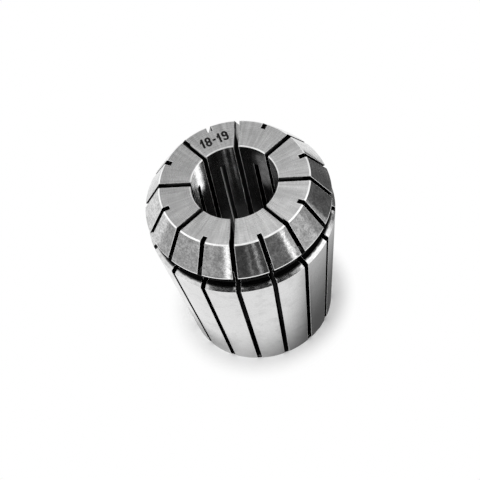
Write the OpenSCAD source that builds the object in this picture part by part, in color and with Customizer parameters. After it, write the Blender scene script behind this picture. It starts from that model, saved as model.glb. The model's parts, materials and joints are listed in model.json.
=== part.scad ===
// Spring collet for a tool holder, in millimetres.
// One sleeve of hardened steel, turned, ground and then sawn from both ends, so that
// a nut that pushes on its nose closes it on a round shank.
// +Z runs along the axis, from the small end up to the nose. The origin is the middle
// of the small end face, on which the collet stands.

/* [Body] */
// Length over all, from the small end to the nose face
total_h = 46; // [42:0.5:56]
// Largest diameter, at the top of the long cone
max_d = 41; // [38:0.5:48]
// Half angle of the long cone that seats in the holder, in degrees
taper_angle = 8; // [6:0.5:9.5]
// Diameter of the straight bore that grips the shank
bore_d = 19; // [8:0.5:23]
// Width of the chamfer on the edges of both end faces
edge_break = 0.2; // [0.1:0.05:0.5]

/* [Nose] */
// Height of the nose cone that the nut pushes on
nose_h = 6.8; // [5:0.1:8]
// Half angle of the nose cone, in degrees
nose_angle = 30; // [26:1:32]
// How far the rim of the nose lies inside the largest radius
rim_drop = 0.12; // [0:0.02:0.5]
// Height of the straight land round the rim
rim_land = 0.3; // [0.1:0.05:1]

/* [Extraction groove] */
// Width of the groove that the nut pulls on
groove_w = 4.1; // [3:0.1:5.5]
// Depth of the groove below the largest radius
groove_depth = 2.4; // [1.8:0.1:3]
// Radius in the two corners of the groove's floor
groove_corner_r = 0.4; // [0.1:0.05:0.8]
// Radial width of the chamfer between the groove and the long cone
shoulder_w = 1; // [0.4:0.1:1.4]
// Height of that chamfer
shoulder_h = 0.8; // [0.4:0.1:1.6]

/* [Slots] */
// Number of slots sawn from each end
slots_per_end = 8; // [4:1:9]
// Width of a slot
slot_w = 1.1; // [0.6:0.05:1.4]
// Diameter of the saw blade, whose edge shapes the end of each slot
saw_d = 63; // [50:1:80]
// Length of bore left whole beyond the end of each slot
web_l = 6; // [4:0.5:9]
// How far a slot sawn from the small end nicks the rim of the nose face
notch_in = 1.45; // [0.6:0.05:2.5]

/* [Size mark] */
// Height of the digits engraved on the nose face
mark_h = 2.6; // [2.5:0.1:3]
// Width of the digits 8 and 9
mark_w = 1.35; // [1.2:0.05:1.4]
// Width of the digit 1, with its flag
one_w = 0.8; // [0.6:0.05:1]
// Length of the dash between the two sizes
dash_w = 0.75; // [0.4:0.05:1]
// Width of the engraved line
mark_line = 0.5; // [0.4:0.02:0.5]
// Depth of the engraving
mark_depth = 0.15; // [0.05:0.05:0.3]
// Space between two characters
mark_gap = 0.33; // [0.15:0.01:0.4]
// How far the mark stands inwards from the middle of the face's ring
mark_in = 0.45; // [0:0.05:0.8]

/* [Hidden] */
$fn = 180;

max_r = max_d / 2;
bore_r = bore_d / 2;
rim_r = max_r - rim_drop;
rim_z = total_h - nose_h;
groove_top = rim_z - rim_land;
groove_floor = groove_top - groove_w;
groove_r = max_r - groove_depth;
cone_top = groove_floor - shoulder_h;
small_r = max_r - cone_top * tan(taper_angle);
face_r = rim_r - nose_h * tan(nose_angle);

// Cutters run this far past the surfaces that they open
over = 2;

// The blade's edge passes through the bore at the end of the slot, and through the far
// face at the tip of the nick. Its centre follows from those two points and its radius.
saw_r = saw_d / 2;
nick_r = face_r - notch_in;
chord = [nick_r - bore_r, web_l];
chord_l = norm(chord);
saw_rise = sqrt(saw_r * saw_r - chord_l * chord_l / 4);
saw_x = bore_r + chord[0] / 2 + saw_rise * chord[1] / chord_l;
saw_z = total_h - web_l + chord[1] / 2 - saw_rise * chord[0] / chord_l;

slot_step = 360 / slots_per_end;
// One slot sawn from the nose faces the front, along -Y
first_slot = -90;

// The mark stands on the face's ring, beside the rearmost slot, with the tops of its digits
// outwards
mark_r = (bore_r + face_r) / 2 - mark_in;
mark_at = slot_step / 2;

// The clamping range in millimetres, each character with the width that it takes
mark_text = ["1", "8", "-", "1", "9"];
mark_widths = [one_w, mark_w, dash_w, one_w, mark_w];
last_mark = len(mark_text) - 1;
function mark_start(i) = i == 0 ? 0 : mark_start(i - 1) + mark_widths[i - 1] + mark_gap;
mark_l = mark_start(last_mark) + mark_widths[last_mark];
// The two loops of an 8 share one line where they meet
half_digit_h = (mark_h + mark_line) / 2;
// The flag of a 1 falls away at this angle below the level, in degrees
flag_fall = 40;

// The sleeve before sawing: every face of revolution, as one half section
module turned_blank() {
    rotate_extrude()
        polygon([
            [bore_r + edge_break, 0],
            [small_r - edge_break, 0],
            [small_r + edge_break * tan(taper_angle), edge_break],
            [max_r, cone_top],
            [max_r - shoulder_w, groove_floor],
            [max_r - shoulder_w, groove_top],
            [rim_r, groove_top],
            [rim_r, rim_z],
            [face_r + edge_break * tan(nose_angle), total_h - edge_break],
            [face_r - edge_break, total_h],
            [bore_r + edge_break, total_h],
            [bore_r, total_h - edge_break],
            [bore_r, edge_break]
        ]);
}

// The ring that is turned away for the groove, with round corners at its floor
module groove_ring() {
    reach = groove_depth + over;
    rotate_extrude()
        translate([groove_r, groove_floor]) {
            translate([groove_corner_r, 0])
                square([reach - groove_corner_r, groove_w]);
            translate([0, groove_corner_r])
                square([reach, groove_w - 2 * groove_corner_r]);
            translate([groove_corner_r, groove_corner_r])
                circle(r = groove_corner_r);
            translate([groove_corner_r, groove_w - groove_corner_r])
                circle(r = groove_corner_r);
        }
}

// The path of the saw blade through one wall, coming in from the small end
module saw_path() {
    translate([0, slot_w / 2, 0])
        rotate([90, 0, 0])
            linear_extrude(slot_w) {
                translate([saw_x, saw_z])
                    circle(r = saw_r);
                translate([saw_x - saw_r, -over])
                    square([saw_d, saw_z + over]);
            }
}

// All slots: every second one is the same cut made from the nose
module slots() {
    for (i = [0 : slots_per_end - 1]) {
        rotate([0, 0, first_slot + i * slot_step])
            translate([0, 0, total_h])
                mirror([0, 0, 1])
                    saw_path();
        rotate([0, 0, first_slot + (i + 0.5) * slot_step])
            saw_path();
    }
}

// A flat shape with straight sides and round ends, standing on y = 0
module stadium(w, h) {
    translate([0, w / 2])
        circle(d = w);
    translate([0, h - w / 2])
        circle(d = w);
    translate([-w / 2, w / 2])
        square([w, h - w]);
}

// The line round such a shape
module loop_line(w, h) {
    difference() {
        stadium(w, h);
        translate([0, mark_line])
            stadium(w - 2 * mark_line, h - 2 * mark_line);
    }
}

// The upright stands at the right of the space that the digit takes
module digit_1() {
    upright = one_w / 2 - mark_line;
    translate([upright, 0])
        square([mark_line, mark_h]);
    intersection() {
        translate([one_w / 2, mark_h])
            rotate(180 + flag_fall)
                square([2 * one_w, mark_line]);
        translate([-one_w / 2, 0])
            square([one_w, mark_h]);
    }
}

module digit_8() {
    loop_line(mark_w, half_digit_h);
    translate([0, half_digit_h - mark_line])
        loop_line(mark_w, half_digit_h);
}

// A loop over a tail, which is the right and lower part of a loop of full height
module digit_9() {
    translate([0, mark_h - half_digit_h])
        loop_line(mark_w, half_digit_h);
    difference() {
        loop_line(mark_w, mark_h);
        translate([-mark_w, mark_w / 2])
            square([mark_w, mark_h]);
    }
}

module dash() {
    translate([-dash_w / 2, (mark_h - mark_line) / 2])
        square([dash_w, mark_line]);
}

module character(c) {
    if (c == "1") digit_1();
    if (c == "8") digit_8();
    if (c == "9") digit_9();
    if (c == "-") dash();
}

// The clamping range in plain numbers, cut into the nose face
module size_mark() {
    rotate([0, 0, mark_at])
        translate([-mark_l / 2, mark_r - mark_h / 2, total_h - mark_depth])
            linear_extrude(mark_depth + over)
                for (i = [0 : last_mark])
                    translate([mark_start(i) + mark_widths[i] / 2, 0])
                        character(mark_text[i]);
}

module collet() {
    color("silver")
        difference() {
            turned_blank();
            groove_ring();
            slots();
            size_mark();
        }
}

collet();
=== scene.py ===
"""The looks of a spring collet: ground and polished steel on a white table, in soft studio light.

Lengths are in millimetres and angles in degrees. They become metres and radians where Blender
needs them. The shape repeats the part's own sizes, with the fine edge rounding that deburring
leaves added to it.
"""

import json
import math

import bmesh
import bpy
import numpy as np
from mathutils import Matrix, Vector

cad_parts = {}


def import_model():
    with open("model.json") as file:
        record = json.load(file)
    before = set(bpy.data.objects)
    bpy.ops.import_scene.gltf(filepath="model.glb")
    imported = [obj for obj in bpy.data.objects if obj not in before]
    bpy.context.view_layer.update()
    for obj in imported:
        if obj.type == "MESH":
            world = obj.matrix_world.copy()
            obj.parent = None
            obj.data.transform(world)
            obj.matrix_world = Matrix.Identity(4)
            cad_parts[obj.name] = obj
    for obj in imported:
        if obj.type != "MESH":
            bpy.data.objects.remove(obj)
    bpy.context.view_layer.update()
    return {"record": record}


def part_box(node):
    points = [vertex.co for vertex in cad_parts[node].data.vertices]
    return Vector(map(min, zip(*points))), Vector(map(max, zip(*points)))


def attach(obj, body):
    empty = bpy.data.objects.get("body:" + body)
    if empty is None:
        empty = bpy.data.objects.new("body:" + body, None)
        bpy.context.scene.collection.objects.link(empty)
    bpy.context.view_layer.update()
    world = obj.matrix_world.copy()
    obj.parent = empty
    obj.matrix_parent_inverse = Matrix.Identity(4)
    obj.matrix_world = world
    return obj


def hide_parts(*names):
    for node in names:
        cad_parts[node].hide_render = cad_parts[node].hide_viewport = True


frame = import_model()

MM = 0.001

# Sizes of the part
MOUNTS = {m["name"]: m for m in frame["record"]["mounts"]}
node_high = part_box("collet")[1]
SLOT_W = 1.1
SLOTS_PER_END = 8
HEIGHT = node_high.z / MM
# A slot runs through the box's own extreme, so the largest radius is at the slot's edge
MAX_R = math.hypot(node_high.x / MM, SLOT_W / 2)
BORE_R = MOUNTS["shank_bore"]["dims"]["r_mm"]
EDGE_BREAK = 0.2
TAPER_ANGLE = 8
NOSE_ANGLE = 30
NOSE_H = 6.8
RIM_DROP = 0.12
RIM_LAND = 0.3
GROOVE_W = 4.1
GROOVE_DEPTH = 2.4
GROOVE_CORNER = 0.4
SHOULDER_W = 1.0
SHOULDER_H = 0.8
WEB = 6.0
NOTCH_IN = 1.45
SAW_R = 31.5

# What follows from them
TAPER = math.tan(math.radians(TAPER_ANGLE))
NOSE_TAPER = math.tan(math.radians(NOSE_ANGLE))
RIM_R = MAX_R - RIM_DROP
RIM_Z = HEIGHT - NOSE_H
GROOVE_TOP = RIM_Z - RIM_LAND
GROOVE_FLOOR = GROOVE_TOP - GROOVE_W
GROOVE_R = MAX_R - GROOVE_DEPTH
CONE_TOP = GROOVE_FLOOR - SHOULDER_H
SMALL_R = MAX_R - CONE_TOP * TAPER
FACE_R = RIM_R - NOSE_H * NOSE_TAPER
NICK_R = FACE_R - NOTCH_IN

# The slots' turns round the axis, from +X. Every second one, from the first, comes from the nose.
FIRST_SLOT = -90
SLOT_STEP = 360 / SLOTS_PER_END / 2
SLOT_TURNS = [FIRST_SLOT + SLOT_STEP * s for s in range(2 * SLOTS_PER_END)]

# Fine rounding that the photo shows as bright lines, on turned edges and on slot edges
TURNED_EDGE_R = 0.07
SLOT_EDGE = 0.1
# The share of SLOT_EDGE by which a slot's edge is rounded on some surfaces, and on all the others
EDGE_SHARES = {"face": 1.0, "cone": 0.24, "bore": 0.15, "groove": 0.15}
OTHER_SHARE = 0.6
# A rounded corner turns by no more than this from point to point
ROUNDING_STEP = 24

# Finishes, in the order of the material slots
FINISHES = ("face", "nose", "cone", "shoulder", "groove", "bore", "sawn", "edge", "burr", "mark")
INDEX = {name: i for i, name in enumerate(FINISHES)}


def direction(turn, height):
    """The unit vector that points away from the object at this turn from the front and this height."""
    a, e = math.radians(turn), math.radians(height)
    return Vector((math.sin(a) * math.cos(e), -math.cos(a) * math.cos(e), math.sin(e)))


def saw_centre():
    """Where the middle of the saw blade stands, as (radius, height), for a slot from the small end."""
    across, up = NICK_R - BORE_R, WEB
    chord = math.hypot(across, up)
    rise = math.sqrt(SAW_R ** 2 - chord ** 2 / 4)
    return (
        BORE_R + across / 2 + rise * up / chord,
        HEIGHT - WEB + up / 2 - rise * across / chord,
    )


SAW_X, SAW_Z = saw_centre()


def section():
    """The corners of the turned section, as (radius, height, corner radius, finish of the next side)."""
    e, b = TURNED_EDGE_R, EDGE_BREAK
    return [
        (BORE_R + b, 0, e, "face"),
        (SMALL_R - b, 0, e, "edge"),
        (SMALL_R + b * TAPER, b, e, "cone"),
        (MAX_R, CONE_TOP, e, "shoulder"),
        (MAX_R - SHOULDER_W, GROOVE_FLOOR, e, "groove"),
        (GROOVE_R, GROOVE_FLOOR, GROOVE_CORNER, "groove"),
        (GROOVE_R, GROOVE_TOP, GROOVE_CORNER, "groove"),
        (RIM_R, GROOVE_TOP, e, "edge"),
        (RIM_R, RIM_Z, e, "nose"),
        (FACE_R + b * NOSE_TAPER, HEIGHT - b, e, "edge"),
        (FACE_R - b, HEIGHT, e, "face"),
        (BORE_R + b, HEIGHT, e, "edge"),
        (BORE_R, HEIGHT - b, e, "bore"),
        (BORE_R, b, e, "edge"),
    ]


def rounded_section():
    """The section with its corners rounded: points, their outward normals, and each side's finish."""
    corners = section()
    points, normals, finishes = [], [], []
    for i, (r, z, radius, finish) in enumerate(corners):
        here = np.array((r, z))
        before = here - np.array(corners[i - 1][:2])
        after = np.array(corners[(i + 1) % len(corners)][:2]) - here
        d1, d2 = before / np.linalg.norm(before), after / np.linalg.norm(after)
        turn = math.atan2(d1[0] * d2[1] - d1[1] * d2[0], d1 @ d2)
        side = math.copysign(1, turn)
        start = here - d1 * radius * math.tan(abs(turn) / 2)
        normal = np.array((d1[1], -d1[0]))
        centre = start - side * radius * normal
        steps = max(2, math.ceil(abs(turn) / math.radians(ROUNDING_STEP)))
        rounding = "groove" if side < 0 or z == GROOVE_FLOOR else "edge"
        for k in range(steps + 1):
            a = turn * k / steps
            n = np.array((
                normal[0] * math.cos(a) - normal[1] * math.sin(a),
                normal[0] * math.sin(a) + normal[1] * math.cos(a),
            ))
            points.append(centre + side * radius * n)
            normals.append(n)
            finishes.append(rounding if k < steps else finish)
    return np.array(points), np.array(normals), finishes


POINTS, NORMALS, SIDES = rounded_section()


def section_normal(r, z):
    """The outward normal of the turned section at the point of it that is nearest to (r, z)."""
    p = np.array((r, z))
    a, b = POINTS, np.roll(POINTS, -1, axis=0)
    spans = b - a
    t = np.clip(((p - a) * spans).sum(1) / (spans ** 2).sum(1), 0, 1)
    i = int(np.argmin(((a + spans * t[:, None] - p) ** 2).sum(1)))
    n = NORMALS[i] * (1 - t[i]) + NORMALS[(i + 1) % len(NORMALS)] * t[i]
    return n / np.linalg.norm(n)


def add_object(name, data):
    """Puts a new object with this mesh, lamp or camera in the scene."""
    made = bpy.data.objects.new(name, data)
    bpy.context.scene.collection.objects.link(made)
    return made


def mesh_object(name, verts, faces, finishes):
    """A mesh object from points in millimetres, with the finish of each face."""
    mesh = bpy.data.meshes.new(name)
    mesh.from_pydata([Vector(v) * MM for v in verts], [], faces)
    for finish in FINISHES:
        mesh.materials.append(MATERIALS[finish])
    mesh.polygons.foreach_set("material_index", [INDEX[f] for f in finishes])
    return add_object(name, mesh)


# The blank has a line at each slot's middle, and this many between two slots, which keep this far
# from their middles
LINES_BETWEEN = 10
CLEAR_TURN = 4.6


def turned_blank():
    """The sleeve before sawing. Its lines keep clear of the slots' edges, so that these bevel cleanly."""
    inner = np.linspace(CLEAR_TURN, SLOT_STEP - CLEAR_TURN, LINES_BETWEEN)
    angles = [turn + a for turn in SLOT_TURNS for a in (0, *inner)]
    n, m = len(angles), len(POINTS)
    verts = [
        (r * math.cos(math.radians(a)), r * math.sin(math.radians(a)), z)
        for a in angles
        for r, z in POINTS
    ]
    faces, finishes = [], []
    for i in range(n):
        for j in range(m):
            i2, j2 = (i + 1) % n, (j + 1) % m
            faces.append((i * m + j, i2 * m + j, i2 * m + j2, i * m + j2))
            finishes.append(SIDES[j])
    return mesh_object("blank", verts, faces, finishes)


def prism(outline, place):
    """Points and faces of a slab: outline's points go through place(x, y, side) for side -1 and 1."""
    n = len(outline)
    verts = [place(x, y, -1) for x, y in outline] + [place(x, y, 1) for x, y in outline]
    faces = [tuple(range(n)), tuple(range(2 * n - 1, n - 1, -1))]
    faces += [(i, n + i, n + (i + 1) % n, (i + 1) % n) for i in range(n)]
    return verts, faces


# The saw's outline runs this far past the largest radius and past the foot. Its arc has this many
# points.
PAST_MAX_R = 5
PAST_FOOT = 2
ARC_POINTS = 60


def saw_cuts():
    """All the slots as one cutter. Every second one comes from the nose."""
    reach = MAX_R + PAST_MAX_R
    end = math.degrees(math.acos((reach - SAW_X) / SAW_R))
    arc = [
        (SAW_X + SAW_R * math.cos(math.radians(a)), SAW_Z + SAW_R * math.sin(math.radians(a)))
        for a in np.linspace(end, 180, ARC_POINTS)
    ]
    outline = [(SAW_X - SAW_R, -PAST_FOOT), (reach, -PAST_FOOT), *arc]
    verts, faces = [], []
    for s, turn in enumerate(SLOT_TURNS):
        a = math.radians(turn)
        from_nose = s % 2 == 0

        def place(r, z, side):
            t = side * SLOT_W / 2
            return (
                r * math.cos(a) - t * math.sin(a),
                r * math.sin(a) + t * math.cos(a),
                HEIGHT - z if from_nose else z,
            )

        new_verts, new_faces = prism(outline, place)
        faces += [
            tuple(len(verts) + i for i in (reversed(f) if from_nose else f))
            for f in new_faces
        ]
        verts += new_verts
    return mesh_object("saw_cuts", verts, faces, ["sawn"] * len(faces))


def apply_modifiers(body):
    """Turns what the modifiers make into the mesh itself."""
    evaluated = body.evaluated_get(bpy.context.evaluated_depsgraph_get())
    mesh = bpy.data.meshes.new_from_object(evaluated)
    body.modifiers.clear()
    body.data = mesh


def cut(body, cutter):
    """Takes the cutter's shape out of the body, and removes the cutter."""
    modifier = body.modifiers.new("cut", "BOOLEAN")
    modifier.operation = "DIFFERENCE"
    modifier.solver = "EXACT"
    modifier.object = cutter
    apply_modifiers(body)
    bpy.data.objects.remove(cutter)


# The size mark: plain numbers for the range of shanks, engraved in the nose face
MARK_H = 2.6
MARK_LINE = 0.5
MARK_DEPTH = 0.15
MARK_GAP = 0.33
WIDE_W = 1.35
ONE_W = 0.8
DASH_W = 0.75
MARK_TEXT = (("1", ONE_W), ("8", WIDE_W), ("-", DASH_W), ("1", ONE_W), ("9", WIDE_W))
HALF_H = (MARK_H + MARK_LINE) / 2
# The flag of a 1 falls away at this angle below the level
FLAG_FALL = 40
# The mark is turned this far from the rear, and its middle lies this far inside the ring's middle
MARK_TURN = SLOT_STEP
MARK_IN = 0.45
MARK_R = (BORE_R + FACE_R) / 2 - MARK_IN
# Its cutters stand up this far over the face
MARK_RISE = 1


def round_ends(w, low, high, steps=10):
    """The outline of a shape with straight sides and round ends, w wide and centred on x = 0."""
    r = w / 2
    bottom = [(a, low + r) for a in np.linspace(math.pi, 2 * math.pi, steps)]
    top = [(a, high - r) for a in np.linspace(0, math.pi, steps)]
    return [(r * math.cos(a), y + r * math.sin(a)) for a, y in bottom + top]


def loop_lines(low, high):
    """The outer and the inner outline of the line round such a shape."""
    outer = round_ends(WIDE_W, low, high)
    inner = round_ends(WIDE_W - 2 * MARK_LINE, low + MARK_LINE, high - MARK_LINE)
    return outer, inner


def outline_1():
    """The outline of a 1, with its flag."""
    right, upright = ONE_W / 2, ONE_W / 2 - MARK_LINE
    fall = math.radians(FLAG_FALL)
    thick = MARK_LINE / math.cos(fall)
    tip = MARK_H - ONE_W * math.tan(fall)
    join = MARK_H - MARK_LINE * math.tan(fall)
    return [
        (upright, 0), (right, 0), (right, MARK_H), (upright, MARK_H),
        (upright, join), (-right, tip), (-right, tip - thick), (upright, join - thick),
    ]


def tail_of_9():
    """The right and lower part of a loop of full height."""
    outer, inner = loop_lines(0, MARK_H)
    half = len(outer) // 2
    return outer[:half + 1] + inner[half::-1]


def mark_place(x0):
    """Where a point of a character lands, for a character whose middle is x0 along the mark."""
    a = math.radians(MARK_TURN)

    def place(x, y, side):
        across, out = x + x0, MARK_R - MARK_H / 2 + y
        return (
            across * math.cos(a) - out * math.sin(a),
            across * math.sin(a) + out * math.cos(a),
            HEIGHT + (MARK_RISE if side > 0 else -MARK_DEPTH),
        )

    return place


def ring_prism(outer, inner, place):
    """Points and faces of a slab between two closed outlines with as many points each."""
    n = len(outer)
    verts = [place(x, y, side) for side in (-1, 1) for line in (outer, inner) for x, y in line]
    faces = []
    for i in range(n):
        j = (i + 1) % n
        faces.append((i, n + i, n + j, j))
        faces.append((2 * n + i, 2 * n + j, 3 * n + j, 3 * n + i))
        faces.append((i, j, 2 * n + j, 2 * n + i))
        faces.append((n + i, 3 * n + i, 3 * n + j, n + j))
    return verts, faces


def joined(parts):
    """Several (points, faces) as one."""
    verts, faces = [], []
    for new_verts, new_faces in parts:
        faces += [tuple(len(verts) + i for i in f) for f in new_faces]
        verts += new_verts
    return verts, faces


def turned_round(part):
    """The same points with the faces looking the other way."""
    return part[0], [tuple(reversed(f)) for f in part[1]]


def mark_cutters():
    """The size mark as two cutters, so that no two shapes of one cutter meet."""
    first, second = [], []
    length = sum(w for _, w in MARK_TEXT) + MARK_GAP * (len(MARK_TEXT) - 1)
    x = -length / 2
    for c, w in MARK_TEXT:
        place = mark_place(x + w / 2)
        if c == "1":
            first.append(turned_round(prism(outline_1(), place)))
        elif c == "-":
            y = (MARK_H - MARK_LINE) / 2
            bar = [(-w / 2, y), (w / 2, y), (w / 2, y + MARK_LINE), (-w / 2, y + MARK_LINE)]
            first.append(turned_round(prism(bar, place)))
        elif c == "8":
            first.append(ring_prism(*loop_lines(0, HALF_H), place))
            second.append(ring_prism(*loop_lines(MARK_H - HALF_H, MARK_H), place))
        else:
            first.append(ring_prism(*loop_lines(MARK_H - HALF_H, MARK_H), place))
            second.append(turned_round(prism(tail_of_9(), place)))
        x += w + MARK_GAP
    made = []
    for parts in (first, second):
        verts, faces = joined(parts)
        made.append(mesh_object("mark_cut", verts, faces, ["mark"] * len(faces)))
    return made


def slot_frame(x, y):
    """The slot nearest to a point: its radial direction, its tangent, and if it comes from the nose."""
    s = round((math.degrees(math.atan2(y, x)) - FIRST_SLOT) / SLOT_STEP)
    a = math.radians(FIRST_SLOT + SLOT_STEP * s)
    radial = Vector((math.cos(a), math.sin(a), 0))
    tangent = Vector((-math.sin(a), math.cos(a), 0))
    return radial, tangent, s % 2 == 0


def blade_normal(p):
    """The normal of a slot's round end at p: towards the middle of the blade that cut it."""
    radial, tangent, from_nose = slot_frame(p.x, p.y)
    z = HEIGHT - p.z if from_nose else p.z
    out, up = SAW_X - p.dot(radial), SAW_Z - z
    return (radial * out + Vector((0, 0, -up if from_nose else up))).normalized()


def turned_normal(p):
    """The normal of the turned surface at p."""
    r = math.hypot(p.x, p.y)
    n = section_normal(r, p.z)
    return Vector((p.x / r * n[0], p.y / r * n[0], n[1]))


def ease_slot_edges(body):
    """Rounds the edges that the saw left, most on the end faces and least in the bore and the groove."""
    bm = bmesh.new()
    bm.from_mesh(body.data)
    sawn, mark = INDEX["sawn"], INDEX["mark"]
    weight = bm.edges.layers.float.new("bevel_weight_edge")
    for edge in bm.edges:
        kinds = {f.material_index for f in edge.link_faces}
        if len(kinds) == 2 and sawn in kinds and mark not in kinds:
            other = (kinds - {sawn}).pop()
            edge[weight] = EDGE_SHARES.get(FINISHES[other], OTHER_SHARE)
    bm.to_mesh(body.data)
    bm.free()
    modifier = body.modifiers.new("ease", "BEVEL")
    modifier.limit_method = "WEIGHT"
    modifier.width = SLOT_EDGE * MM
    modifier.segments = 2
    modifier.material = INDEX["burr"]
    modifier.use_clamp_overlap = False
    modifier.miter_outer = "MITER_SHARP"
    apply_modifiers(body)


# A sawn face is a flat wall if its normal has at least this share of the slot's tangent, and the
# slot's round end otherwise
WALL_SHARE = 0.7


def exact_normals(mesh):
    """Gives each corner the normal of the true surface, so that round faces look round."""
    sawn, burr, mark = INDEX["sawn"], INDEX["burr"], INDEX["mark"]
    points = [v.co / MM for v in mesh.vertices]
    touching = [[] for _ in mesh.vertices]
    for p in mesh.polygons:
        for v in p.vertices:
            touching[v].append(p)
    turned = {}

    def on_turned(v):
        """The normal at a point of a turned surface. Each point is worked out once."""
        if v not in turned:
            turned[v] = turned_normal(points[v])
        return turned[v]

    def on_sawn(polygon, v):
        """The normal at a point of a slot: that of its flat wall or that of its round end."""
        tangent = slot_frame(*points[v].xy)[1]
        if abs(polygon.normal.dot(tangent)) > WALL_SHARE:
            return polygon.normal.copy()
        return blade_normal(points[v])

    def on_eased(polygon, v):
        """The normal at a point of an eased edge, which runs smoothly into the surface at each side."""
        walls = [q for q in touching[v] if q.material_index == sawn]
        round_faces = [q for q in touching[v] if q.material_index not in (sawn, burr, mark)]
        if round_faces and not walls:
            return on_turned(v)
        if walls and not round_faces:
            return on_sawn(max(walls, key=lambda q: q.normal.dot(polygon.normal)), v)
        return mesh.vertices[v].normal.copy()

    normals = [None] * len(mesh.loops)
    for p in mesh.polygons:
        for i, v in zip(p.loop_indices, p.vertices):
            if p.material_index == mark:
                normals[i] = p.normal.copy()
            elif p.material_index == sawn:
                normals[i] = on_sawn(p, v)
            elif p.material_index == burr:
                normals[i] = on_eased(p, v)
            else:
                normals[i] = on_turned(v)
    mesh.normals_split_custom_set(normals)


def collet():
    """The collet as one piece of steel, with its finishes face by face."""
    body = turned_blank()
    cut(body, saw_cuts())
    for cutter in mark_cutters():
        cut(body, cutter)
    ease_slot_edges(body)
    exact_normals(body.data)
    body.name = body.data.name = "collet_steel"
    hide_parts("collet")
    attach(body, "root")


def node(tree, kind, inputs=None, **settings):
    """Adds a node. Its inputs are given by name or number, each as a value or as a socket to link."""
    made = tree.nodes.new(kind)
    for name, value in settings.items():
        setattr(made, name, value)
    for name, value in (inputs or {}).items():
        if isinstance(value, bpy.types.NodeSocket):
            tree.links.new(value, made.inputs[name])
        else:
            made.inputs[name].default_value = value
    return made


def math_node(tree, operation, *values):
    return node(tree, "ShaderNodeMath", dict(enumerate(values)), operation=operation).outputs[0]


def product(tree, first, *others):
    """All these values multiplied together."""
    for other in others:
        first = math_node(tree, "MULTIPLY", first, other)
    return first


def place_mm(tree):
    """The place on the object in millimetres."""
    at = node(tree, "ShaderNodeTexCoord").outputs["Object"]
    return node(tree, "ShaderNodeVectorMath", {0: at, "Scale": 1 / MM}, operation="SCALE").outputs[0]


def axes(tree, at):
    """The x, y and z of a place."""
    return node(tree, "ShaderNodeSeparateXYZ", {0: at}).outputs[:]


def from_axis(tree, x, y):
    """How far a place lies from the turning axis."""
    return math_node(tree, "SQRT", math_node(tree, "ADD", product(tree, x, x), product(tree, y, y)))


def from_middle(tree, at):
    """How far a place lies from the middle of the small end face."""
    return node(tree, "ShaderNodeVectorMath", {0: at}, operation="LENGTH").outputs["Value"]


def along(tree, at, toward):
    """How far a place lies in this direction."""
    dot = node(tree, "ShaderNodeVectorMath", {0: at, 1: toward}, operation="DOT_PRODUCT")
    return dot.outputs["Value"]


def ring_place(tree, round_scale, across_scale):
    """A place that changes slowly round the axis and fast across the turning lines."""
    x, y, z = axes(tree, place_mm(tree))
    r = from_axis(tree, x, y)
    return node(tree, "ShaderNodeCombineXYZ", {
        0: product(tree, math_node(tree, "DIVIDE", x, r), round_scale),
        1: product(tree, math_node(tree, "DIVIDE", y, r), round_scale),
        2: product(tree, math_node(tree, "ADD", r, z), across_scale),
    }).outputs[0]


def noise(tree, vector, scale, detail=2.0, roughness=0.5):
    return node(tree, "ShaderNodeTexNoise", {
        "Vector": vector, "Scale": scale, "Detail": detail, "Roughness": roughness,
    }).outputs["Fac"]


def spread(tree, value, low, high, to_low, to_high, **settings):
    """Stretches a value from low..high to to_low..to_high, and keeps it between them."""
    return node(tree, "ShaderNodeMapRange", {
        "Value": value, "From Min": low, "From Max": high, "To Min": to_low, "To Max": to_high,
    }, **settings).outputs["Result"]


def varied(tree, pattern, low, high):
    """Goes from low to high with a noise pattern, over the range that most of the pattern takes."""
    return spread(tree, pattern, 0.3, 0.7, low, high)


def fade(tree, value, start, end, to_start=0.0, to_end=1.0):
    """Stretches a value as spread does, with a smooth beginning and end."""
    return spread(tree, value, start, end, to_start, to_end, interpolation_type="SMOOTHSTEP")


def grey(tree, value):
    return node(tree, "ShaderNodeCombineColor", {0: value, 1: value, 2: value}).outputs[0]


def bump(tree, height, depth, before=None):
    """Normals that rise and fall by this depth, on top of those from before."""
    inputs = {"Height": height, "Distance": depth * MM, "Strength": 1.0}
    if before is not None:
        inputs["Normal"] = before
    return node(tree, "ShaderNodeBump", inputs).outputs[0]


def turning_lines(tree):
    """The direction of the turning lines, for gloss that is drawn out across them."""
    return node(tree, "ShaderNodeTangent", direction_type="RADIAL", axis="Z").outputs[0]


def new_material(name):
    """A material with an empty node tree."""
    material = bpy.data.materials.new(name)
    material.use_nodes = True
    material.node_tree.nodes.clear()
    return material


def show(tree, surface):
    """Ends a material in this shader."""
    node(tree, "ShaderNodeOutputMaterial", {"Surface": surface})


def principled(tree, inputs):
    """Ends a material in one principled shader with these inputs."""
    show(tree, node(tree, "ShaderNodeBsdfPrincipled", inputs).outputs[0])


# How strongly gloss is drawn out, and the share of a full turn by which it is turned
FACE_DRAWN = 0.6
BORE_DRAWN = 0.4
CONE_DRAWN = 0.3
ACROSS = 0.25


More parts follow.
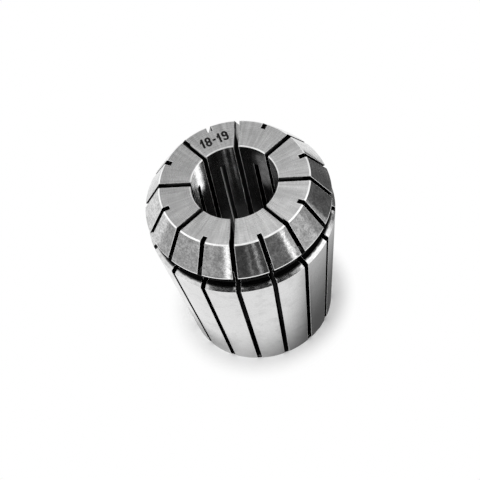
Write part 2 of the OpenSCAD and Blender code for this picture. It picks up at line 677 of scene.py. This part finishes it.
def face_steel(tree):
    """Faced on a lathe and ground: fine rings, which spread light across them, and light scratches."""
    at = place_mm(tree)
    rings = noise(tree, ring_place(tree, 1.5, 5.0), 1.0, 3.0)
    cloud = noise(tree, at, 0.35, 3.0)
    grain = noise(tree, at, 2.5, 2.0)
    scratches = noise(tree, ring_place(tree, 22.0, 0.12), 1.0, 3.0, 0.6)
    colour = product(
        tree,
        varied(tree, cloud, 0.56, 0.68),
        varied(tree, grain, 0.9, 1.0),
        spread(tree, scratches, 0.35, 0.75, 0.88, 1.25),
    )
    principled(tree, {
        "Base Color": grey(tree, colour),
        "Metallic": 1.0,
        "Roughness": varied(tree, rings, 0.24, 0.34),
        "Anisotropic": FACE_DRAWN,
        "Anisotropic Rotation": ACROSS,
        "Tangent": turning_lines(tree),
        "Normal": bump(tree, grain, 0.004, bump(tree, rings, 0.003)),
    })


def nose_steel(tree):
    """Ground nearly to a mirror, with a slight waviness, fine dents, dull specks and blotches."""
    at = place_mm(tree)
    waves = noise(tree, at, 0.22, 1.0)
    rings = noise(tree, ring_place(tree, 3.0, 4.0), 1.0, 3.0)
    cloud = noise(tree, at, 0.5, 3.0)
    specks = noise(tree, at, 2.2, 4.0, 0.7)
    blotches = noise(tree, at, 0.9, 4.0, 0.6)
    dents = noise(tree, at, 1.1, 3.0)
    colour = product(
        tree,
        varied(tree, cloud, 0.56, 0.76),
        spread(tree, specks, 0.4, 0.68, 1.1, 0.52),
        spread(tree, blotches, 0.4, 0.62, 1.05, 0.84),
    )
    shape = bump(tree, dents, 0.013, bump(tree, waves, 0.03))
    principled(tree, {
        "Base Color": grey(tree, colour),
        "Metallic": 1.0,
        "Roughness": varied(tree, cloud, 0.1, 0.16),
        "Normal": bump(tree, rings, 0.0015, shape),
    })


def cone_steel(tree):
    """Ground all the way round: fine rings, a faint grain and a few smudges."""
    at = place_mm(tree)
    rings = noise(tree, ring_place(tree, 2.0, 3.5), 1.0, 3.0)
    waves = noise(tree, at, 0.12, 1.0)
    smudges = noise(tree, at, 0.3, 4.0, 0.6)
    grain = noise(tree, at, 2.0, 4.0, 0.7)
    colour = product(
        tree,
        spread(tree, smudges, 0.5, 0.72, 0.7, 0.6),
        spread(tree, grain, 0.35, 0.65, 1.03, 0.95),
    )
    principled(tree, {
        "Base Color": grey(tree, colour),
        "Metallic": 1.0,
        "Roughness": spread(tree, smudges, 0.35, 0.7, 0.14, 0.2),
        "Anisotropic": CONE_DRAWN,
        "Anisotropic Rotation": ACROSS,
        "Tangent": turning_lines(tree),
        "Normal": bump(tree, rings, 0.002, bump(tree, waves, 0.05)),
    })


# Painted shade from the groove runs onto the chamfer and ends between these heights, counted from the
# chamfer's upper edge. The height is first raised unevenly, by up to the last of them.
GROOVE_SHADE_HIGH = 0.15
GROOVE_SHADE_LOW = -0.05
GROOVE_SHADE_UNEVEN = 0.5


def shoulder_steel(tree):
    """A turned chamfer that was not ground: coarser lines, blotches, and painted shade from the groove at
    its top.
    """
    lines = noise(tree, ring_place(tree, 4.0, 6.0), 1.0, 3.0)
    at = place_mm(tree)
    z = axes(tree, at)[2]
    blotches = noise(tree, at, 0.9, 3.0)
    height = math_node(tree, "MULTIPLY_ADD", blotches, GROOVE_SHADE_UNEVEN, z)
    # clean is the share of the colour left unshaded: at the chamfer's top the colour falls to 0.08 of
    # itself, painted shade from the groove
    clean = spread(tree, height, GROOVE_FLOOR + GROOVE_SHADE_HIGH, GROOVE_FLOOR + GROOVE_SHADE_LOW, 0.08, 1.0)
    principled(tree, {
        "Base Color": grey(tree, product(tree, spread(tree, blotches, 0.35, 0.65, 0.5, 0.72), clean)),
        "Metallic": 1.0,
        "Roughness": varied(tree, blotches, 0.14, 0.24),
        "Normal": bump(tree, blotches, 0.012, bump(tree, lines, 0.004)),
    })


def groove_steel(tree):
    """The groove is coloured nearly black: painted shade in the groove."""
    lines = noise(tree, ring_place(tree, 3.0, 6.0), 1.0, 3.0)
    principled(tree, {
        "Base Color": grey(tree, varied(tree, lines, 0.012, 0.035)),
        "Metallic": 1.0,
        "Roughness": varied(tree, lines, 0.35, 0.5),
        "Normal": bump(tree, lines, 0.006),
    })


# How dense the bore's fine lines are in x, y and z, which draws them out along the bore
BORE_LINES = (1.2, 1.2, 0.05)


def bore_steel(tree):
    """Honed, with fine lines along the bore and a few dull patches. Its colour is far darker than the
    steel outside: painted shade in the bore.
    """
    at = place_mm(tree)
    drawn_out = node(tree, "ShaderNodeVectorMath", {0: at, 1: BORE_LINES}, operation="MULTIPLY")
    streaks = noise(tree, drawn_out.outputs[0], 1.0, 3.0)
    cloud = noise(tree, at, 0.6, 4.0, 0.6)
    principled(tree, {
        # A base colour well below the outer steel's: painted shade in the bore
        "Base Color": grey(tree, spread(tree, cloud, 0.35, 0.65, 0.15, 0.32)),
        "Metallic": 1.0,
        "Roughness": varied(tree, streaks, 0.13, 0.2),
        "Anisotropic": BORE_DRAWN,
        "Anisotropic Rotation": ACROSS,
        "Tangent": turning_lines(tree),
        "Normal": bump(tree, streaks, 0.01),
    })


# The slots' walls grow clean outwards between these radii, and downwards between these heights
CLEAN_RADII = (14, 16.2)
CLEAN_HEIGHTS = (44.6, 43)
# They shine more towards the foot and towards the nose, over these heights
FOOT_SHINE = (30, 12)
NOSE_SHINE = (37, 40)
# Painted light on their tops at the nose face ends between these depths below the nose face, and between
# these radii
LIP_DEPTHS = (1.1, 0.4)
LIP_RADII = (15, 14.5)
# This painted light is brightest, with this grey, on the walls towards this turn and its opposite, as if
# lit from there. Between these cosines of the turn from there, it dims to this share of it.
LIP_PAINTED_GREY = 0.9
LIP_LIGHT_TURN = 23
LIP_COSINES = (0.45, 0.9)
LIP_SHADE_SHARE = 0.15


def sawn_steel(tree):
    """Slot walls: dark, with the saw's marks, cleaner towards the outside, where they shine when they are
    seen along. At the nose face their tops carry painted light, most on two opposite sides."""
    at = place_mm(tree)
    x, y, z = axes(tree, at)
    r = from_axis(tree, x, y)
    marks = noise(tree, at, 1.2, 3.0)
    foot_shine = spread(tree, z, *FOOT_SHINE, 0.6, 0.95)
    nose_shine = spread(tree, z, *NOSE_SHINE, 0.6, 1)
    clean = product(
        tree,
        spread(tree, r, *CLEAN_RADII, 0, 1),
        spread(tree, z, *CLEAN_HEIGHTS, 0, 1),
        math_node(tree, "MAXIMUM", foot_shine, nose_shine),
    )
    # Painted light on the walls' tops at the nose face: near white and hardly metallic, brightest on the
    # walls towards one turn and its opposite
    light_way = math_node(tree, "ABSOLUTE", along(tree, at, direction(LIP_LIGHT_TURN, 0)))
    painted_lip_light = product(
        tree,
        spread(tree, z, *(HEIGHT - depth for depth in LIP_DEPTHS), 0, 1),
        spread(tree, r, *LIP_RADII, 0, 1),
        spread(tree, math_node(tree, "DIVIDE", light_way, r), *LIP_COSINES, LIP_SHADE_SHARE, 1),
    )
    dark = varied(tree, marks, 0.004, 0.014)
    principled(tree, {
        "Base Color": grey(tree, math_node(tree, "MULTIPLY_ADD", painted_lip_light, LIP_PAINTED_GREY, dark)),
        "Metallic": spread(tree, painted_lip_light, 0, 1, 1, 0.1),
        "Roughness": spread(tree, clean, 0, 0.6, 0.6, 0.25),
        "Specular Tint": grey(tree, spread(tree, clean, 0, 1, 0.1, 1.0)),
        "Normal": bump(tree, marks, 0.01),
    })


def edge_steel(tree, metallic):
    """Edges eased by deburring, slightly matt, and coloured nearly white as a painted highlight along
    them. The less metallic, the whiter all round.
    """
    wear = noise(tree, place_mm(tree), 0.8, 2.0)
    principled(tree, {
        "Base Color": grey(tree, varied(tree, wear, 0.8, 0.92)),
        "Metallic": metallic,
        "Roughness": varied(tree, wear, 0.3, 0.45),
    })


def mark_ink(tree):
    """The engraved numbers are filled dark."""
    fleck = noise(tree, place_mm(tree), 6.0, 2.0)
    principled(tree, {
        "Base Color": grey(tree, varied(tree, fleck, 0.004, 0.012)),
        "Roughness": 0.8,
        "Specular IOR Level": 0.15,
    })


MATERIALS = {name: new_material(f"{name}_steel") for name in FINISHES}
TREES = {name: material.node_tree for name, material in MATERIALS.items()}
face_steel(TREES["face"])
nose_steel(TREES["nose"])
cone_steel(TREES["cone"])
shoulder_steel(TREES["shoulder"])
groove_steel(TREES["groove"])
bore_steel(TREES["bore"])
sawn_steel(TREES["sawn"])
# Both edge finishes carry a painted highlight in their near-white colour
edge_steel(TREES["edge"], metallic=0.5)
edge_steel(TREES["burr"], metallic=0.1)
mark_ink(TREES["mark"])


# The camera, fitted to the photo of 480 x 480 pixels. Turning angles count from the front,
# which is -Y, towards +X.
PICTURE_PX = 480
FOCAL_PX = 3000
SENSOR = 36
CAMERA_TURN = 13.18
CAMERA_HEIGHT = 54.6
CAMERA_ROLL = -13.67
CAMERA_AWAY = 661.8
AIM_RIGHT = -1.733
AIM_UP = 0.957
# The camera sees what lies between these distances
CLIP_NEAR = 10
CLIP_FAR = 20000


def camera():
    """Looks down on the nose from the photo's place, with its slight roll."""
    back = direction(CAMERA_TURN, CAMERA_HEIGHT)
    right = direction(CAMERA_TURN + 90, 0)
    up = back.cross(right)
    data = bpy.data.cameras.new("camera")
    data.sensor_width = SENSOR
    data.lens = SENSOR * FOCAL_PX / PICTURE_PX
    data.clip_start = CLIP_NEAR * MM
    data.clip_end = CLIP_FAR * MM
    made = add_object("camera", data)
    roll = math.radians(CAMERA_ROLL)
    c, s = math.cos(roll), math.sin(roll)
    turn = Matrix((right * c + up * s, up * c - right * s, back)).transposed().to_4x4()
    centre = Vector((0, 0, HEIGHT / 2)) + right * AIM_RIGHT + up * AIM_UP + back * CAMERA_AWAY
    made.matrix_world = Matrix.Translation(centre * MM) @ turn
    bpy.context.scene.camera = made


WHITE = (1, 1, 1, 1)
FLOOR_GREY = (0.9, 0.9, 0.9, 1)
FLOOR_SIZE = 3000
FLOOR_DROP = 0.02
# The floor turns from lit white to the background's own white between these distances
NEAR_FLOOR = 16.3
FAR_FLOOR = 21.8
# The foot pad, a painted shadow under the foot, stays this far inside the foot, and has this many corners
PAD_INSET = 0.25
PAD_CORNERS = 48
# The strength of the even light from all round
FILL = 0.95


def picture_rays(tree):
    """1 for the rays that show the background: camera, glossy and transmission rays."""
    path = node(tree, "ShaderNodeLightPath")
    seen = math_node(tree, "MAXIMUM", path.outputs["Is Camera Ray"], path.outputs["Is Glossy Ray"])
    return math_node(tree, "MAXIMUM", seen, path.outputs["Is Transmission Ray"])


def emission(tree, level):
    """A shader that gives plain white light of this level."""
    return node(tree, "ShaderNodeEmission", {"Color": WHITE, "Strength": level}).outputs[0]


def mixed(tree, share, first, second):
    """A shader that goes from the first to the second as the share goes from 0 to 1."""
    return node(tree, "ShaderNodeMixShader", {0: share, 1: first, 2: second}).outputs[0]


def panel(name, points, faces, material):
    """A part of the studio, from points in millimetres."""
    mesh = bpy.data.meshes.new(name)
    mesh.from_pydata([Vector(p) * MM for p in points], [], faces)
    mesh.materials.append(material)
    made = add_object(name, mesh)
    return made


def level_square(name, half, z, material):
    """A level square round the axis at the height z, of twice this half width."""
    corners = [(-half, -half, z), (half, -half, z), (half, half, z), (-half, half, z)]
    return panel(name, corners, [(0, 1, 2, 3)], material)


def floor():
    """A white table that keeps the object's shadow, and runs out into the white background."""
    material = new_material("white_table")
    tree = material.node_tree
    far = fade(tree, from_middle(tree, place_mm(tree)), NEAR_FLOOR, FAR_FLOOR)
    lit = node(tree, "ShaderNodeBsdfDiffuse", {"Color": FLOOR_GREY}).outputs[0]
    share = product(tree, far, picture_rays(tree))
    show(tree, mixed(tree, share, lit, emission(tree, 1.0)))
    level_square("floor", FLOOR_SIZE / 2, -FLOOR_DROP, material)


def foot_pad():
    """A black card on the table under the collet, a painted shadow, which keeps the slots and the bore
    dark at the foot.
    """
    material = new_material("foot_pad_black")
    tree = material.node_tree
    weave = noise(tree, place_mm(tree), 3.0)
    black = grey(tree, varied(tree, weave, 0.01, 0.02))
    show(tree, node(tree, "ShaderNodeBsdfDiffuse", {"Color": black}).outputs[0])
    r = SMALL_R - PAD_INSET
    turns = np.linspace(0, 2 * math.pi, PAD_CORNERS, endpoint=False)
    points = [(r * math.cos(a), r * math.sin(a), -FLOOR_DROP / 2) for a in turns]
    panel("foot_pad", points, [range(PAD_CORNERS)], material)


def world():
    """White behind everything, and a soft even light from all round."""
    made = bpy.data.worlds.new("white_room")
    made.use_nodes = True
    tree = made.node_tree
    tree.nodes.clear()
    level = math_node(tree, "MULTIPLY_ADD", picture_rays(tree), 1 - FILL, FILL)
    back = node(tree, "ShaderNodeBackground", {"Color": WHITE, "Strength": level}).outputs[0]
    node(tree, "ShaderNodeOutputWorld", {"Surface": back})
    bpy.context.scene.world = made


def area_lamp(name, place, back, width, height, watts):
    """A flat lamp at a place in millimetres. It shines the other way than the direction back."""
    data = bpy.data.lights.new(name, "AREA")
    data.shape = "RECTANGLE"
    data.size = width * MM
    data.size_y = height * MM
    data.energy = watts
    made = add_object(name, data)
    made.location = place * MM
    made.rotation_mode = "QUATERNION"
    made.rotation_quaternion = back.to_track_quat("Z", "Y")
    return made


def softbox(name, turn, height, away, width, watts):
    """A square lamp that looks at the object. The steel shows the cards in its place."""
    back = direction(turn, height)
    area_lamp(name, back * away, back, width, width, watts).visible_glossy = False


def bore_lamp(name, place, wall, width, height, level):
    """A small lamp in the bore, placed by its turn, distance from the axis and height. It faces the wall
    at another turn, which shows it as a soft highlight, and lights nothing behind it. It stands for the
    light that falls in and lands there."""
    turn, away, z = place
    stand = direction(CAMERA_TURN + turn, 0) * away
    back = stand - direction(CAMERA_TURN + wall, 0) * BORE_R
    watts = level * math.pi * width * height * MM ** 2
    made = area_lamp(name, stand + Vector((0, 0, z)), back, width, height, watts)
    made.visible_camera = False
    made.visible_diffuse = False


def only_reflected(made):
    """The steel shows this panel, and nothing else does."""
    made.visible_camera = False
    made.visible_diffuse = False
    made.visible_shadow = False


def covered(tree, cover, level):
    """Ends a material in light of this level where cover is 1, and lets light past where it is 0."""
    clear = node(tree, "ShaderNodeBsdfTransparent").outputs[0]
    show(tree, mixed(tree, cover, clear, emission(tree, level)))


# Cards are curved round this place. They have a column of points every few degrees.
CARD_MIDDLE = Vector((0, 0, 0.8 * HEIGHT))
CARD_COLUMN_STEP = 6
CARD_ROWS = 7


def card(name, turns, heights, away, level, soft=1.0):
    """A curved panel round the object, between two turns from the camera and two heights in degrees.
    Near level 0 it is a black flag, and above 1 a lit reflector. Its ends fade over the soft angle."""
    first, last = turns
    inner = max(2, round((last - first) / CARD_COLUMN_STEP) + 1)
    columns = [first, *np.linspace(first + soft, last - soft, inner), last]
    cover = [0, *[1] * inner, 0]
    points = [
        CARD_MIDDLE + direction(CAMERA_TURN + t, h) * away
        for t in columns
        for h in np.linspace(*heights, CARD_ROWS)
    ]
    corners = [i * CARD_ROWS + j for i in range(len(columns) - 1) for j in range(CARD_ROWS - 1)]
    faces = [(k, k + CARD_ROWS, k + CARD_ROWS + 1, k + 1) for k in corners]
    material = new_material(f"{name}_light")
    tree = material.node_tree
    covered(tree, node(tree, "ShaderNodeAttribute", attribute_name="cover").outputs["Fac"], level)
    made = panel(name, points, faces, material)
    values = made.data.attributes.new("cover", "FLOAT", "POINT")
    values.data.foreach_set("value", np.repeat(cover, CARD_ROWS))
    only_reflected(made)


# The panel for the nose face: its distance from the face, half its width, its level in the middle,
# and how much that grows with each millimetre towards this turn from the camera
FACE_PANEL_AWAY = 150
FACE_PANEL_HALF = 75
FACE_PANEL_LEVEL = 0.66
FACE_PANEL_SLOPE = 0.015
FACE_PANEL_TURN = 25


def face_panel():
    """The panel that the nose face reflects. It grows brighter towards the right and the front."""
    back = direction(CAMERA_TURN + 180, CAMERA_HEIGHT)
    side = direction(CAMERA_TURN + 90, 0)
    up = back.cross(side)
    middle = Vector((0, 0, HEIGHT)) + back * FACE_PANEL_AWAY
    corners = [
        middle + (side * i + up * j) * FACE_PANEL_HALF
        for i, j in ((-1, -1), (1, -1), (1, 1), (-1, 1))
    ]
    material = new_material("face_panel_light")
    tree = material.node_tree
    toward = direction(CAMERA_TURN + FACE_PANEL_TURN, 0)
    past = math_node(tree, "SUBTRACT", along(tree, place_mm(tree), toward), middle.dot(toward))
    level = math_node(tree, "MULTIPLY_ADD", past, FACE_PANEL_SLOPE, FACE_PANEL_LEVEL)
    show(tree, emission(tree, math_node(tree, "MAXIMUM", level, 0.0)))
    only_reflected(panel("face_panel", corners, [(0, 1, 2, 3)], material))


# The dark card on the table, a painted shadow that only the steel shows: half its width, its height over
# the table, and its level
TABLE_SHADOW_HALF = 60
TABLE_SHADOW_Z = 0.1
TABLE_SHADOW_LEVEL = 0.1
# It fades out between these distances: towards the front, which lies at this turn from the camera,
# towards the left, and all round
SHADOW_FRONT_TURN = -8
SHADOW_FRONT = (25, 10.5)
SHADOW_LEFT = (-15, 5)
SHADOW_ROUND = (44.6, 16)
# At the left only a narrow band round the foot is left of it, with this cover
FOOT_LEFT = (-6, -13)
FOOT_ROUND = (20, 16.3)
FOOT_COVER = 0.45
# Under the foot's rim the outer part gives way to an inner one over this width. The inner one's
# cover falls off from the axis outwards, between these distances, to this share.
FOOT_RIM = 0.4
BORE_FADE = (8, 5.5)
BORE_COVER = 0.25


def table_flag():
    """A dark card on the table with soft edges, which only the steel shows: a painted shadow round the
    foot. It darkens the right and the foot of the long cone, and the bottom of the bore."""
    material = new_material("table_flag_black")
    tree = material.node_tree
    at = place_mm(tree)
    away = from_middle(tree, at)
    front = along(tree, at, direction(CAMERA_TURN + SHADOW_FRONT_TURN, 0))
    right = along(tree, at, direction(CAMERA_TURN + 90, 0))
    cover = product(
        tree,
        fade(tree, front, *SHADOW_FRONT),
        fade(tree, right, *SHADOW_LEFT),
        fade(tree, away, *SHADOW_ROUND),
    )
    foot = product(tree, fade(tree, right, *FOOT_LEFT), fade(tree, away, *FOOT_ROUND), FOOT_COVER)
    outside = product(
        tree,
        math_node(tree, "MAXIMUM", cover, foot),
        fade(tree, away, SMALL_R - FOOT_RIM, SMALL_R),
    )
    inside = product(
        tree,
        fade(tree, away, SMALL_R, SMALL_R - FOOT_RIM),
        fade(tree, away, *BORE_FADE, BORE_COVER, 1.0),
    )
    covered(tree, math_node(tree, "MAXIMUM", outside, inside), TABLE_SHADOW_LEVEL)
    only_reflected(level_square("table_flag", TABLE_SHADOW_HALF, TABLE_SHADOW_Z, material))


collet()
camera()
floor()
foot_pad()
world()
softbox("key", -50, 50, 800, 500, 1.8)

# What the steel shows. The nose cone shows the low cards at its front and the wings at its sides.
# The chamfer over the long cone shows the top flag at its front and the boxes at its sides.
# Each card has its turns, heights, distance and level, and some have the angle of their soft ends.
card("low_ring", (-62, 74), (-3, 34), 600, 0.55, 2)
card("front_flag", (-23, 15), (-4, 18), 500, 0.07)
card("left_dim", (-42, -30), (-5, 33), 500, 0.42, 2)
card("left_strip", (-30, -23.5), (-5, 33), 480, 1.8)
card("front_streak", (-5.5, -2.5), (-4, 30), 480, 0.4, 1.2)
card("front_streak_2", (3, 6), (-4, 30), 480, 0.9, 1.2)
card("right_flag", (14, 38), (-4, 18), 500, 0.2)
card("right_strip", (37.5, 43), (-4, 34), 480, 1.8)
card("right_wing", (52, 66), (-4, 22), 500, 0.66, 3)
card("right_wing_2", (66, 84), (-20, 14), 110, 0.42, 3)
card("top_flag", (-56, 46), (35, 56), 450, 0.02, 2)
card("right_box", (54, 100), (22, 62), 430, 1.7, 2)
card("left_box", (-115, -60), (12, 55), 450, 1.15, 2)
card("left_wing", (-101, -38), (-14, 9), 110, 0.55, 4)
card("right_back_flag", (81, 142), (-34, 17), 90, 0.13, 3)
card("right_back_wing", (139, 157), (-42, -8), 90, 0.58, 3)
card("over_box", (0, 360), (66, 89), 600, 1.3, 0)
bore_lamp("bore_left", (160, 8.2, 29.8), -133, 2.6, 11, 5.0)
bore_lamp("bore_right", (-169, 7.8, 27.5), 131, 4.4, 11, 0.38)
face_panel()
table_flag()

bpy.context.scene.view_settings.view_transform = "Standard"
